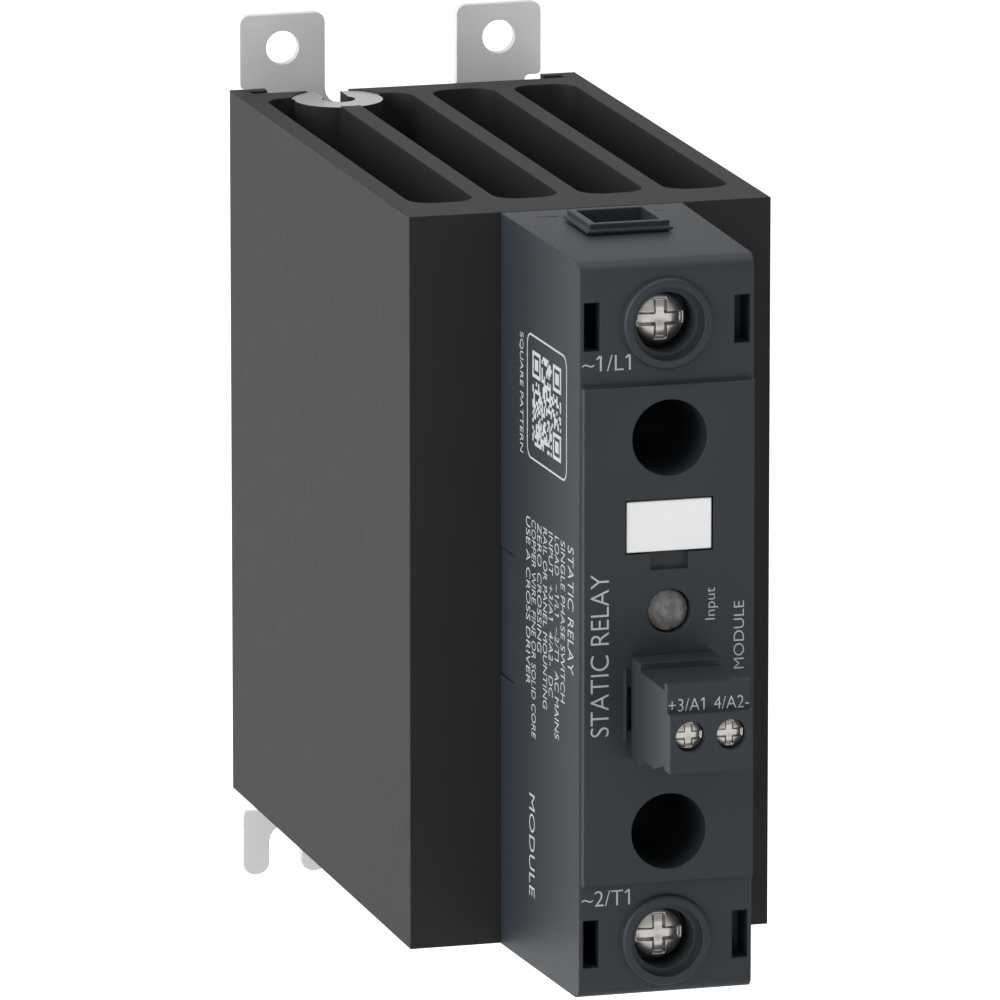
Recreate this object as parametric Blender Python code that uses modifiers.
"""Solid state relay on a finned heat sink, with a rail and panel bracket.

Units are metres.  The origin is the middle of the face that seats on the rail,
and the front of the relay faces -Y.  X is across the width and +Z is up.
"""
import math

import bmesh
import bpy
from mathutils import Matrix, Vector

MM = 0.001

# Fits between neighbouring pieces
GAP = 0.3 * MM               # between pieces that touch
SLIM_GAP = 0.2 * MM          # between the marker tag and its pocket
OVERSHOOT = 1.0 * MM         # how far a cutter runs past the wall it cuts
ROUND = 48                   # sides of a large round surface that shows
HEAD_ROUND = 32              # sides of a screw head
SMALL_ROUND = 20             # sides of a small or hidden round surface
ARC_STEPS = 4                # straight pieces in a rounded corner

# Heat sink, an extrusion along Z
SINK_WIDTH = 45.0 * MM
SINK_HEIGHT = 90.0 * MM
SINK_DEPTH = 84.4 * MM
SINK_BASE = 7.6 * MM         # front wall, under the relay
SINK_SIDE = 2.5 * MM
SINK_FIN = 2.5 * MM
SINK_REAR_WALL = 3.8 * MM
CHANNEL_COUNT = 4
CHANNEL_RADIUS = 3.0 * MM
LIP_WIDTH = 4.5 * MM
LIP_THICK = 1.5 * MM
GROOVE_WIDTH = 1.7 * MM
GROOVE_REACH = 2.4 * MM
BOSS_RADIUS = 5.55 * MM      # earth screw port in the first fin
PORT_RADIUS = 2.1 * MM
PORT_SLOT = 3.2 * MM
PORT_INSET = 5.2 * MM        # bore centre in front of the rear wall's outer face
SPOTFACE_DEPTH = 0.2 * MM
TAPPED_DEPTH = 7.0 * MM

# Bracket, one folded sheet
STANDOFF = 6.8 * MM          # panel to the rear of the heat sink
SHEET = 1.2 * MM
FLANGE_PLAY = 0.4 * MM       # sideways, between a flange and the heat sink's lip
PLATE_TOP = 41.5 * MM
FLANGE_HALF_HEIGHT = 38.0 * MM
TAB_OVERHANG = 2.1 * MM      # how far a tab stands out past the flange
TAB_WIDTH = 11.1 * MM
TAB_SHOULDER = 43.9 * MM     # underside of the wide part of an upper tab
TAB_TOP = 53.3 * MM
TAB_CORNER = 1.2 * MM
TAB_HOLE_RADIUS = 2.13 * MM
TAB_HOLE_HEIGHT = 49.0 * MM
FOOT_SHOULDER = 49.8 * MM    # top of the wide part of a forked foot, below centre
FOOT_BOTTOM = 58.1 * MM
FOOT_SLOT_WIDTH = 4.2 * MM
FOOT_SLOT_CENTRE = 53.9 * MM
FOOT_LEG_ROUNDING = 0.45     # end radius over the width of a foot's leg
FOOT_SLOT_ROUNDING = 0.49    # corner radius over the width of a foot's slot
ROOT_FILLET = 2.0 * MM
TURNED_LIP = 1.1 * MM
TURNED_REACH = 2.2 * MM

# Rail seat and sliding latch
RAIL_HALF_HEIGHT = 17.5 * MM
RAIL_SHEET = 1.0 * MM
RAIL_PLAY = 0.2 * MM
HOOK_OVERLAP = 1.7 * MM
HOOK_WIDTH = 6.0 * MM
HOOK_INSET = 2.6 * MM        # from the side of the plate
RAIL_SHOULDER = 0.8 * MM     # play above and below the rail
LATCH_TRAVEL = 4.0 * MM
LATCH_SHEET = 1.5 * MM
LATCH_HALF_WIDTH = 7.0 * MM
LATCH_SHELF = 24.0 * MM      # lower side of the step that carries the hook
LATCH_TAIL_BOTTOM = 53.0 * MM
LATCH_TAIL_HALF_WIDTH = 5.0 * MM
LATCH_TAIL_TOP = 46.5 * MM
LATCH_TAPER = 2.0 * MM
DRIVER_SLOT_HALF_WIDTH = 2.6 * MM
DRIVER_SLOT_TOP = 49.2 * MM
DRIVER_SLOT_HEIGHT = 1.9 * MM
LATCH_STANDOFF = 1.7 * MM    # bracket sheet to the latch's rear face
GUIDE_TOP = 30.0 * MM
GUIDE_HEIGHT = 5.0 * MM
GUIDE_OVERLAP = 1.5 * MM
SPRING_RADIUS = 1.8 * MM
SPRING_WIRE = 0.3 * MM
SPRING_TURNS = 5
SPRING_LENGTH = 10.4 * MM
SPRING_POINTS = 10           # along each turn
SPRING_CLOSED_RISE = 0.69 * MM
SPRING_WINDOW_TOP = 28.0 * MM
SPRING_WINDOW_HALF_WIDTH = 2.5 * MM
LUG_HALF_WIDTH = 1.8 * MM

# Relay body.  Depths are measured forward from the heat sink's front face.
BODY_WIDTH = 22.5 * MM
BODY_HEIGHT = 90.0 * MM
BODY_DEPTH = 32.0 * MM       # to the face around the load screws
MID_DEPTH = 33.2 * MM        # to the raised middle of the front
SIDE_DRAFT = 0.6 * MM
TOP_DRAFT = 0.1 * MM
BOTTOM_DRAFT = 1.0 * MM
BODY_WALL = 1.8 * MM
MID_INSET = 0.2 * MM         # the middle is a little narrower than the ends
SIDE_EDGE = 1.0 * MM
END_EDGE = 1.6 * MM

# Metal base and power stage
PAD_THICK = 0.4 * MM
BASE_THICK = 3.0 * MM
BASE_SIDE_MARGIN = 3.65 * MM # body's side to the metal base
BASE_END_MARGIN = 3.6 * MM   # body's end to the metal base
CERAMIC_THICK = 0.8 * MM
CERAMIC_MARGIN = 0.6 * MM
CERAMIC_HALF_HEIGHT = 16.8 * MM
CHIP_THICK = 0.5 * MM
CHIP_SIDE = 8.0 * MM
CHIP_HEIGHT = 6.4 * MM       # centre of each chip above and below the middle
BUSBAR_SHEET = 1.2 * MM
BUSBAR_X = 7.6 * MM          # outer side of the strip that passes the screw tunnel
BUSBAR_FOOT_LOW = 12.0 * MM
BUSBAR_FOOT_HIGH = 16.0 * MM
BUSBAR_STRIP_REAR = 12.0 * MM
TONGUE_THICK = 1.5 * MM
TONGUE_HALF_WIDTH = 3.5 * MM
TONGUE_BELOW = 7.5 * MM      # inner end of the tongue, from the load screw's axis
TONGUE_ABOVE = 4.7 * MM      # outer end of the tongue, from the load screw's axis
TONGUE_BRIDGE = 1.9 * MM
TONGUE_INSET = 2.4 * MM      # inside of the cage's front to the rear of the tongue

# Screws that hold the relay to the heat sink
MODULE_SCREW_PITCH = 47.6 * MM
ACCESS_RADIUS = 4.6 * MM
TUNNEL_WALL = 1.15 * MM
MODULE_SHANK_RADIUS = 1.65 * MM
MODULE_SHANK_REACH = 6.2 * MM
MODULE_HEAD_RADIUS = 3.6 * MM
MODULE_HEAD_HEIGHT = 2.6 * MM
WASHER_RADIUS = 4.1 * MM
WASHER_THICK = 0.8 * MM

# Load terminals
TERMINAL_INSET = 7.7 * MM    # body's end to the load screw's axis
STEP_BELOW = 7.2 * MM        # load screw's axis to the step of the raised middle
RING_WIDTH = 1.1 * MM
RING_RISE = 0.9 * MM
RING_EDGE = 0.45 * MM
WELL_STEP = 0.75 * MM
WELL_MOUTH_DEPTH = 1.3 * MM
WELL_PLAY = 0.65 * MM        # round the screw's head
WELL_FLOOR_THICK = 1.6 * MM
WELL_WALL = 1.2 * MM
LOAD_SHANK_RADIUS = 2.3 * MM
LOAD_SHANK_HOLE = 2.75 * MM
LOAD_HEAD_RADIUS = 3.0 * MM
LOAD_HEAD_HEIGHT = 2.1 * MM
LOAD_HEAD_DOME = 0.6 * MM
LOAD_TRAVEL = 4.6 * MM       # of the cage
CAGE_WALL = 1.2 * MM
CAGE_HALF_WIDTH = 5.0 * MM
CAGE_BELOW = 5.0 * MM        # from the load screw's axis towards the middle
CAGE_ABOVE = 4.9 * MM        # from the load screw's axis towards the body's end
CAGE_REAR_INSIDE = 8.2 * MM
CAGE_FRONT_INSIDE = 18.6 * MM
CAGE_NUT = 2.0 * MM
SIDE_SLOT_INSET = 2.05 * MM  # body's side to the middle of the slot
SIDE_SLOT_WIDTH = 1.95 * MM
SIDE_SLOT_HEIGHT = 5.8 * MM
SIDE_SLOT_DEPTH = 4.0 * MM

# Wire entries at the two ends
COLLAR_HALF_WIDTH = 4.95 * MM
COLLAR_REAR = 6.9 * MM
COLLAR_FRONT = 16.4 * MM
COLLAR_RISE = 1.35 * MM
COLLAR_WALL = 0.9 * MM
COLLAR_FLANGE = 0.35 * MM
COLLAR_FLANGE_THICK = 0.4 * MM
COLLAR_NECK_STEP = 0.3 * MM
SEAM_DEPTH = 4.0 * MM
SEAM_LENGTH = 3.4 * MM
SEAM_WIDTH = 0.4 * MM
SEAM_CUT = 0.7 * MM

# Base frame that snaps into the housing
FRAME_WALL = 1.25 * MM
FRAME_DEPTH = 6.0 * MM
SNAP_DEPTH = 5.64 * MM
SNAP_LOW = -11.55 * MM
SNAP_HIGH = 4.25 * MM
POST_CENTRE = 7.5 * MM
POST_HEIGHT = 3.0 * MM
POST_THICK = 1.0 * MM
SNAP_FLUSH = 0.02 * MM       # the snap's face lies this far inside the body's side

# Control board and what is on it
BOARD_REAR = 20.2 * MM
BOARD_THICK = 1.6 * MM
BOARD_SIDE_MARGIN = 2.65 * MM
BOARD_HALF_HEIGHT = 17.0 * MM
COUPLER_SIZE = (6.4 * MM, 3.4 * MM, 8.6 * MM)
COUPLER_PLACE = (0.6 * MM, 10.6 * MM)
RESISTOR_RADIUS = 1.15 * MM
RESISTOR_LENGTH = 6.4 * MM
RESISTOR_NECK_RADIUS = 0.3 * MM
RESISTOR_NECK = 1.2 * MM
RESISTOR_X = 5.6 * MM
RESISTOR_Z = -2.0 * MM
CAPACITOR_RADIUS = 2.4 * MM
CAPACITOR_LENGTH = 6.8 * MM
CAPACITOR_PLACE = (-5.6 * MM, 12.6 * MM)
VARISTOR_RADIUS = 5.0 * MM
VARISTOR_THICK = 4.0 * MM
VARISTOR_LEG_RADIUS = 0.35 * MM
VARISTOR_LEG_SPREAD = 2.5 * MM
VARISTOR_LEG = 1.5 * MM
VARISTOR_Z = -8.6 * MM
GATE_LEAD_RADIUS = 0.4 * MM
GATE_LEAD_X = 5.4 * MM
GATE_LEAD_Z = 9.0 * MM
LAMP_Z = 2.87 * MM
LENS_RADIUS = 2.38 * MM
LENS_RECESS = 0.35 * MM
LENS_STEM_RADIUS = 1.9 * MM
LENS_HEAD = 3.0 * MM
LED_WIDTH = 3.2 * MM
LED_HEIGHT = 2.8 * MM
LED_THICK = 1.9 * MM

# Marker tag
TAG_POCKET_HALF_WIDTH = 5.4 * MM
TAG_POCKET_LOW = 9.95 * MM
TAG_POCKET_HEIGHT = 6.5 * MM
TAG_POCKET_DEPTH = 1.1 * MM
TAG_RECESS = 0.12 * MM
TAG_LEG_X = 3.0 * MM
TAG_LEG_WIDTH = 1.6 * MM
TAG_LEG_HEIGHT = 2.4 * MM
TAG_LEG_LENGTH = 1.6 * MM
PRY_HALF_WIDTH = 2.3 * MM
PRY_HEIGHT = 2.0 * MM
PRY_DEPTH = 0.8 * MM

# Input plug and its header
POLE_PITCH = 5.0 * MM
PLUG_X = 0.3 * MM
PLUG_SIDE_MARGIN = 2.525 * MM    # from a pole's axis
PLUG_TOP = -2.25 * MM
PLUG_BOTTOM = -14.8 * MM
PLUG_FLANGE_DEPTH = 3.6 * MM
PLUG_BODY_TOP = -3.2 * MM
PLUG_BODY_BOTTOM = -13.7 * MM
PLUG_LABEL_REAR = 13.65 * MM
PLUG_LABEL_FRONT = 14.85 * MM
PLUG_LABEL_BOTTOM = -5.7 * MM
PLUG_FACE_FRONT = 16.0 * MM
PLUG_FACE_BOTTOM = -12.8 * MM
PLUG_RELIEF = 9.4 * MM
PLUG_RELIEF_TOP = -12.3 * MM
NOSE_SIDE_MARGIN = 1.4 * MM  # from a pole's axis
NOSE_TOP = -4.3 * MM
NOSE_BOTTOM = -12.9 * MM
NOSE_LENGTH = 6.2 * MM
POLE_Z = -8.45 * MM
PLUG_SCREW_HOLE = 1.85 * MM
PLUG_SCREW_HEAD_RADIUS = 1.65 * MM
PLUG_SCREW_RECESS = 0.95 * MM
PLUG_SCREW_HEAD = 1.3 * MM
PLUG_SCREW_SHANK = 1.0 * MM
PLUG_SCREW_TIP = 10.5 * MM   # depth of the screw's tip, forward from the plug's back
PLUG_TRAVEL = 1.6 * MM
PLUG_CAGE_HALF_WIDTH = 1.75 * MM
PLUG_CAGE_WALL = 0.45 * MM
PLUG_CAGE_REAR = 4.5 * MM
PLUG_CAGE_REAR_WALL = 0.7 * MM
PLUG_CAGE_FRONT_INSIDE = 10.9 * MM
PLUG_CAGE_NUT = 1.0 * MM
PLUG_CAGE_HALF_HEIGHT = 2.7 * MM
PLUG_TONGUE_REAR = 9.2 * MM
CONTACT_SHEET = 0.5 * MM
CONTACT_TONGUE_HALF = 1.0 * MM
WIRE_HOLE_HALF_WIDTH = 1.5 * MM
PIN_SIDE = 0.8 * MM
PIN_TIP = 31.4 * MM
HEADER_WALL = 0.8 * MM
HEADER_FLOOR = 2.2 * MM
CLIP_SLOT_WIDTH = 1.2 * MM
CLIP_SLOT_LOW = -11.25 * MM
CLIP_SLOT_HIGH = -6.0 * MM
RIB_WIDTH = 0.3 * MM
RIB_RISE = 0.35 * MM
RIB_LOW = -12.5 * MM
RIB_HIGH = -3.8 * MM
RIB_INSET = 0.5 * MM

# Driver recesses, each a cross: width and depth of a bar, reach over the head's radius
LOAD_RECESS = (1.15 * MM, 1.2 * MM, 0.93)
MODULE_RECESS = (1.1 * MM, 1.3 * MM, 0.6)
PLUG_RECESS = (0.6 * MM, 0.7 * MM, 0.95)
POINT_CHAMFER = 0.2          # of a shank's end, over its radius
SHALLOW_DOME = 1 / 3         # rise of a head's dome, over its height

# Angles above which an edge between two faces stays sharp, in degrees
ROUND_EDGE = 40
WIRE_EDGE = 60
WIRE_SIDES = 12

# Places that follow from the sizes above
PLATE_HALF_WIDTH = SINK_WIDTH / 2 - LIP_WIDTH - FLANGE_PLAY
TAB_OUTER = PLATE_HALF_WIDTH + TAB_OVERHANG
TAB_INNER = TAB_OUTER - TAB_WIDTH
HOOK_OUTER = PLATE_HALF_WIDTH - HOOK_INSET
HOOK_INNER = HOOK_OUTER - HOOK_WIDTH
PANEL = SHEET + RAIL_SHEET + RAIL_PLAY      # the plane of the tabs' rear faces
SHEET_FRONT = PANEL - SHEET
SINK_BACK = PANEL - STANDOFF
SINK_FRONT = SINK_BACK - SINK_DEPTH
SINK_REAR_FACE = SINK_BACK - LIP_THICK - GROOVE_WIDTH
CHANNEL_WIDTH = (SINK_WIDTH - 2 * SINK_SIDE - (CHANNEL_COUNT - 1) * SINK_FIN) / CHANNEL_COUNT
BOSS_X = SINK_SIDE + CHANNEL_WIDTH + SINK_FIN / 2 - SINK_WIDTH / 2
BOSS_Y = SINK_REAR_FACE - PORT_INSET
MODULE_SCREW_Z = MODULE_SCREW_PITCH / 2
TUNNEL_RADIUS = ACCESS_RADIUS + TUNNEL_WALL
LATCH_REAR = SHEET_FRONT - LATCH_STANDOFF
LATCH_FRONT = LATCH_REAR - LATCH_SHEET
TERMINAL_HEIGHT = BODY_HEIGHT / 2 - TERMINAL_INSET
MID_HALF_HEIGHT = TERMINAL_HEIGHT - STEP_BELOW
BASE_HALF_WIDTH = BODY_WIDTH / 2 - BASE_SIDE_MARGIN
BASE_HALF_HEIGHT = BODY_HEIGHT / 2 - BASE_END_MARGIN
CERAMIC_HALF_WIDTH = BASE_HALF_WIDTH - CERAMIC_MARGIN
BOARD_HALF_WIDTH = BODY_WIDTH / 2 - BOARD_SIDE_MARGIN
SIDE_SLOT_X = BODY_WIDTH / 2 - SIDE_SLOT_INSET
WELL_RADIUS = LOAD_HEAD_RADIUS + WELL_PLAY
WELL_MOUTH_RADIUS = WELL_RADIUS + WELL_STEP
RING_RADIUS = WELL_MOUTH_RADIUS + RING_WIDTH
WELL_FLOOR = CAGE_FRONT_INSIDE + CAGE_NUT + LOAD_TRAVEL + GAP + WELL_FLOOR_THICK
CAGE_LOW = TERMINAL_HEIGHT - CAGE_BELOW
CAGE_HIGH = TERMINAL_HEIGHT + CAGE_ABOVE
TONGUE_LOW = TERMINAL_HEIGHT - TONGUE_BELOW
TONGUE_HIGH = TERMINAL_HEIGHT + TONGUE_ABOVE
PLUG_WIDTH = POLE_PITCH + 2 * PLUG_SIDE_MARGIN
NOSE_HALF_WIDTH = POLE_PITCH / 2 + NOSE_SIDE_MARGIN
BASE_REAR = 2 * GAP + PAD_THICK
BASE_FRONT = BASE_REAR + BASE_THICK
CERAMIC_FRONT = BASE_FRONT + GAP + CERAMIC_THICK
POWER_LEVEL = CERAMIC_FRONT + GAP
TONGUE_REAR = CAGE_FRONT_INSIDE - GAP - TONGUE_INSET
BOARD_FRONT = BOARD_REAR + BOARD_THICK
PLUG_BACK = MID_DEPTH + GAP
FRAME_OUTER = BODY_WIDTH / 2 - BODY_WALL - GAP


def clear_scene():
    """Remove every object that is already in the file."""
    for item in list(bpy.data.objects):
        bpy.data.objects.remove(item, do_unlink=True)


clear_scene()
PARTS = bpy.data.collections.new("solid_state_relay")
TOOLS = bpy.data.collections.new("cutters")
bpy.context.scene.collection.children.link(PARTS)
bpy.context.scene.collection.children.link(TOOLS)


def ahead(depth):
    """Y of a point that lies depth in front of the heat sink."""
    return SINK_FRONT - depth


def plug_y(depth):
    """Y of a point that lies depth in front of the plug's rear face."""
    return ahead(PLUG_BACK + depth)


def place(mesh, name, location):
    """Make an object of the mesh among the tools; finish() turns it into a part."""
    item = bpy.data.objects.new(name, mesh)
    item.location = location
    item.hide_render = True
    item.display_type = "WIRE"
    TOOLS.objects.link(item)
    return item


def box(name, low, high):
    """A box between two corners, with its origin at its centre."""
    low = Vector(low)
    high = Vector(high)
    shape = bmesh.new()
    bmesh.ops.create_cube(shape, size=1.0, matrix=Matrix.Diagonal((*(high - low), 1.0)))
    mesh = bpy.data.meshes.new(name)
    shape.to_mesh(mesh)
    shape.free()
    return place(mesh, name, (low + high) / 2)


def rod(name, radius, start, end, sides=SMALL_ROUND, rounding=0.0):
    """A cylinder from start to end, its end edge rounded, with its origin at its middle."""
    start = Vector(start)
    end = Vector(end)
    turn = (end - start).to_track_quat("Z", "Y").to_matrix().to_4x4()
    shape = bmesh.new()
    depth = (end - start).length
    bmesh.ops.create_cone(shape, cap_ends=True, segments=sides, radius1=radius,
                          radius2=radius, depth=depth)
    if rounding:
        rim = [edge for edge in shape.edges if all(vertex.co.z > 0 for vertex in edge.verts)]
        bmesh.ops.bevel(shape, geom=rim, offset=rounding, offset_type="OFFSET",
                        segments=ARC_STEPS, profile=0.5, affect="EDGES")
    bmesh.ops.transform(shape, matrix=turn, verts=shape.verts)
    mesh = bpy.data.meshes.new(name)
    shape.to_mesh(mesh)
    shape.free()
    return place(mesh, name, (start + end) / 2)


def turned(name, profile, sides, matrix):
    """A solid turned about Z from (radius, height) points that run from top to bottom."""
    mesh = bpy.data.meshes.new(name)
    points = [(radius, 0.0, height) for radius, height in profile]
    mesh.from_pydata(points, [(step, step + 1) for step in range(len(points) - 1)], [])
    item = place(mesh, name, (0.0, 0.0, 0.0))
    item.matrix_world = matrix
    spin = item.modifiers.new("turn", "SCREW")
    spin.axis = "Z"
    spin.steps = sides
    spin.render_steps = sides
    spin.use_merge_vertices = True
    spin.merge_threshold = 0.001 * MM
    return item


def solid_of_curve(curve, name, matrix):
    """Weld a filled curve's caps and turn it into a mesh object."""
    curve_object = bpy.data.objects.new(name, curve)
    TOOLS.objects.link(curve_object)
    curve_object.matrix_world = matrix
    bpy.context.view_layer.update()
    evaluated = curve_object.evaluated_get(bpy.context.evaluated_depsgraph_get())
    mesh = bpy.data.meshes.new_from_object(evaluated)
    shape = bmesh.new()
    shape.from_mesh(mesh)
    bmesh.ops.remove_doubles(shape, verts=shape.verts, dist=0.001 * MM)
    bmesh.ops.recalc_face_normals(shape, faces=shape.faces)
    shape.to_mesh(mesh)
    shape.free()
    bpy.data.objects.remove(curve_object)
    item = place(mesh, name, (0.0, 0.0, 0.0))
    item.matrix_world = matrix
    return item


def sheet(name, loops, thickness, matrix):
    """A flat outline, with its holes, extruded to both sides of the matrix's XY plane."""
    curve = bpy.data.curves.new(name, "CURVE")
    curve.dimensions = "2D"
    curve.fill_mode = "BOTH"
    curve.extrude = thickness / 2
    for loop in loops:
        spline = curve.splines.new("POLY")
        spline.points.add(len(loop) - 1)
        for point, (u, v) in zip(spline.points, loop):
            point.co = (u, v, 0.0, 1.0)
        spline.use_cyclic_u = True
    return solid_of_curve(curve, name, matrix)


def rounded(corners, radius, steps=ARC_STEPS):
    """The outline through the corners, each one turned into an arc of the radius."""
    outline = []
    radii = radius if isinstance(radius, (list, tuple)) else [radius] * len(corners)
    for index, corner in enumerate(corners):
        here = Vector(corner)
        back = (Vector(corners[index - 1]) - here).normalized()
        onward = (Vector(corners[(index + 1) % len(corners)]) - here).normalized()
        if radii[index] <= 0:
            outline.append((here.x, here.y))
            continue
        half = back.angle(onward) / 2
        centre = here + (back + onward).normalized() * (radii[index] / math.sin(half))
        first = here + back * (radii[index] / math.tan(half)) - centre
        last = here + onward * (radii[index] / math.tan(half)) - centre
        sweep = first.angle_signed(last)
        for step in range(steps + 1):
            spoke = first.copy()
            spoke.rotate(Matrix.Rotation(-sweep * step / steps, 2))
            outline.append((centre.x + spoke.x, centre.y + spoke.y))
    return outline


def circle(u, v, radius, sides=ROUND):
    """A round outline."""
    angles = [2 * math.pi * step / sides for step in range(sides)]
    return [(u + radius * math.cos(angle), v + radius * math.sin(angle)) for angle in angles]


def facing_back(y):
    """The matrix of a sheet in an XZ plane: its u is X and its v is Z."""
    return Matrix.Translation((0.0, y, 0.0)) @ Matrix.Rotation(math.radians(90), 4, "X")


def facing_front(y, z, x=0.0):
    """The matrix of a turned piece whose top faces -Y at the given place."""
    return Matrix.Translation((x, y, z)) @ Matrix.Rotation(math.radians(90), 4, "X")


def facing_side(x):
    """The matrix of a sheet in a YZ plane: its u is Y and its v is Z."""
    turn = Matrix(((0, 0, 1, 0), (1, 0, 0, 0), (0, 1, 0, 0), (0, 0, 0, 1)))
    return Matrix.Translation((x, 0.0, 0.0)) @ turn


def combine(item, tools, operation):
    """Apply each tool to the item with an exact Boolean."""
    for tool in tools:
        change = item.modifiers.new(tool.name, "BOOLEAN")
        change.operation = operation
        change.solver = "EXACT"
        change.object = tool


def add(item, *tools):
    """Join the tools to the item."""
    combine(item, tools, "UNION")


def cut(item, *tools):
    """Take the tools away from the item."""
    combine(item, tools, "DIFFERENCE")


def finish(item, name, colour, roughness=0.5, metallic=0.0, smooth=None):
    """Name the part, give it its material and move it into the parts' collection."""
    item.name = name
    item.data.name = name
    item.hide_render = False
    item.display_type = "TEXTURED"
    TOOLS.objects.unlink(item)
    PARTS.objects.link(item)
    material = bpy.data.materials.new(name)
    material.use_nodes = True
    shader = material.node_tree.nodes["Principled BSDF"]
    shader.inputs["Base Color"].default_value = (*colour, 1.0)
    shader.inputs["Roughness"].default_value = roughness
    shader.inputs["Metallic"].default_value = metallic
    item.data.materials.append(material)
    if smooth:
        item.data.shade_smooth()
        item.data.set_sharp_from_angle(angle=math.radians(smooth))
    return item


# Colours of the finishes
BLACK_ANODISED = (0.045, 0.045, 0.045)
ZINC = (0.55, 0.55, 0.56)
SPRING_STEEL = (0.35, 0.36, 0.38)
DARK_PLASTIC = (0.055, 0.068, 0.078)
PLUG_PLASTIC = (0.060, 0.072, 0.080)
BLACK_PLASTIC = (0.02, 0.02, 0.022)
NICKEL = (0.62, 0.60, 0.56)
TINNED_COPPER = (0.60, 0.45, 0.34)
ALUMINIUM = (0.68, 0.69, 0.70)
CERAMIC = (0.86, 0.86, 0.84)
SILICON = (0.16, 0.17, 0.20)
PAD_GREY = (0.40, 0.42, 0.44)
BOARD_GREEN = (0.03, 0.20, 0.09)
TAG_WHITE = (0.84, 0.84, 0.84)
LENS_GREY = (0.36, 0.35, 0.35)
RESISTOR_BLUE = (0.20, 0.42, 0.60)
VARISTOR_BLUE = (0.05, 0.12, 0.42)
LED_CLEAR = (0.80, 0.78, 0.60)
BRASS = (0.72, 0.58, 0.30)


def heat_sink():
    """The extrusion: four closed channels, hooked rear lips and a screw port."""
    half = SINK_WIDTH / 2
    lip_front = SINK_BACK - LIP_THICK
    inner = half - LIP_WIDTH
    right = [(half, SINK_FRONT), (half, SINK_BACK), (inner, SINK_BACK), (inner, lip_front),
             (inner + GROOVE_REACH, lip_front), (inner + GROOVE_REACH, SINK_REAR_FACE)]
    outline = right + [(-x, y) for x, y in reversed(right)]
    front = SINK_FRONT + SINK_BASE
    back = SINK_REAR_FACE - SINK_REAR_WALL
    sink = sheet("sink", [outline], SINK_HEIGHT, Matrix.Identity(4))
    top = SINK_HEIGHT / 2
    beyond = top + OVERSHOOT
    boss = rod("sink_boss", BOSS_RADIUS, (BOSS_X, BOSS_Y, -beyond - OVERSHOOT),
               (BOSS_X, BOSS_Y, beyond + OVERSHOOT), ROUND)
    for index in range(CHANNEL_COUNT):
        left = -half + SINK_SIDE + index * (CHANNEL_WIDTH + SINK_FIN)
        right_edge = left + CHANNEL_WIDTH
        corners = [(left, front), (right_edge, front), (right_edge, back), (left, back)]
        air = sheet("channel", [rounded(corners, CHANNEL_RADIUS, 2 * ARC_STEPS)], 2 * beyond,
                    Matrix.Identity(4))
        if left < BOSS_X + BOSS_RADIUS and right_edge > BOSS_X - BOSS_RADIUS:
            cut(air, boss)
        cut(sink, air)
    cut(sink,
        rod("sink_port", PORT_RADIUS, (BOSS_X, BOSS_Y, -beyond), (BOSS_X, BOSS_Y, beyond)),
        box("sink_port_slot", (BOSS_X - PORT_SLOT / 2, BOSS_Y, -beyond),
            (BOSS_X + PORT_SLOT / 2, SINK_REAR_FACE + OVERSHOOT, beyond)),
        rod("sink_spotface", BOSS_RADIUS + GAP, (BOSS_X, BOSS_Y, top - SPOTFACE_DEPTH),
            (BOSS_X, BOSS_Y, beyond), ROUND))
    for side in (-1, 1):
        z = side * MODULE_SCREW_Z
        cut(sink, rod("sink_tapping", MODULE_SHANK_RADIUS + GAP, (0, SINK_FRONT - OVERSHOOT, z),
                      (0, SINK_FRONT + TAPPED_DEPTH, z)))
    finish(sink, "heat_sink", BLACK_ANODISED, 0.45, 0.6)


def bracket_outline():
    """Half of the bracket's flat outline at +X, from the top edge round to the lower edge."""
    tab = [(TAB_INNER, PLATE_TOP), (TAB_INNER, TAB_TOP), (TAB_OUTER, TAB_TOP),
           (TAB_OUTER, TAB_SHOULDER), (PLATE_HALF_WIDTH, TAB_SHOULDER)]
    slot_left = (TAB_INNER + TAB_OUTER) / 2 - FOOT_SLOT_WIDTH / 2
    slot_right = slot_left + FOOT_SLOT_WIDTH
    foot = [(PLATE_HALF_WIDTH, -FOOT_SHOULDER), (TAB_OUTER, -FOOT_SHOULDER),
            (TAB_OUTER, -FOOT_BOTTOM), (slot_right, -FOOT_BOTTOM),
            (slot_right, -FOOT_SLOT_CENTRE + FOOT_SLOT_WIDTH / 2),
            (slot_left, -FOOT_SLOT_CENTRE + FOOT_SLOT_WIDTH / 2), (slot_left, -FOOT_BOTTOM),
            (TAB_INNER, -FOOT_BOTTOM), (TAB_INNER, -PLATE_TOP)]
    leg_end = (TAB_OUTER - slot_right) * FOOT_LEG_ROUNDING
    slot_end = FOOT_SLOT_WIDTH * FOOT_SLOT_ROUNDING
    tab_radii = [ROOT_FILLET, TAB_CORNER, TAB_CORNER, TAB_CORNER / 2, TAB_CORNER / 2]
    foot_radii = [TAB_CORNER / 2, TAB_CORNER / 2, leg_end, leg_end, slot_end, slot_end,
                  leg_end, leg_end, ROOT_FILLET]
    return tab + foot, tab_radii + foot_radii


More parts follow.
